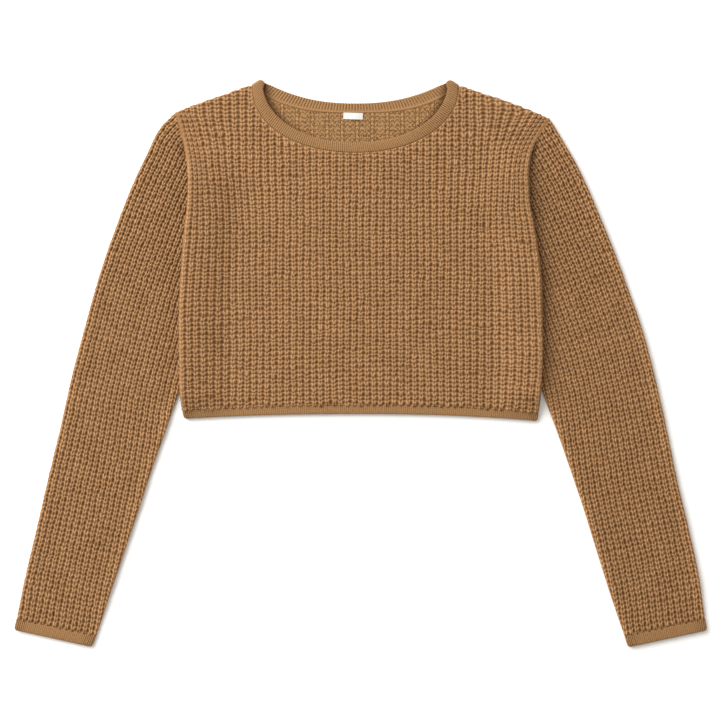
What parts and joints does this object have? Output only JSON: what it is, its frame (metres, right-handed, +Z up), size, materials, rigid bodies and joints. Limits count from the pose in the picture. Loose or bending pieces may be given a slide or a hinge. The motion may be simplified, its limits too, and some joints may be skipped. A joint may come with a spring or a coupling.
{
  "type": "cropped knit sweater laid flat",
  "caption": "Cropped long-sleeved crew-neck sweater in chunky rib knit, laid flat on its back, with fine rib bands at neck, hem and cuffs",
  "frame": {"origin": "on the surface the sweater lies on, under the middle of its bounding box", "axes": "+X to the right across the sleeves, +Y from hem to neck, +Z up from the surface"},
  "size_m": [0.7966, 0.6525, 0.0155],
  "materials": {
    "main_knit": "matt chunky wool-blend rib, soft and slightly fuzzy",
    "fine_rib": "matt fine one-by-one rib",
    "satin": "white woven satin tape, left bare"
  },
  "bodies": {
    "root": {"front": "main_knit", "back": "main_knit", "sleeve_left": "main_knit", "sleeve_right": "main_knit", "neckband": "fine_rib", "hem_band": "fine_rib", "cuff_left": "fine_rib", "cuff_right": "fine_rib", "label": "satin"}
  },
  "joints": []
}
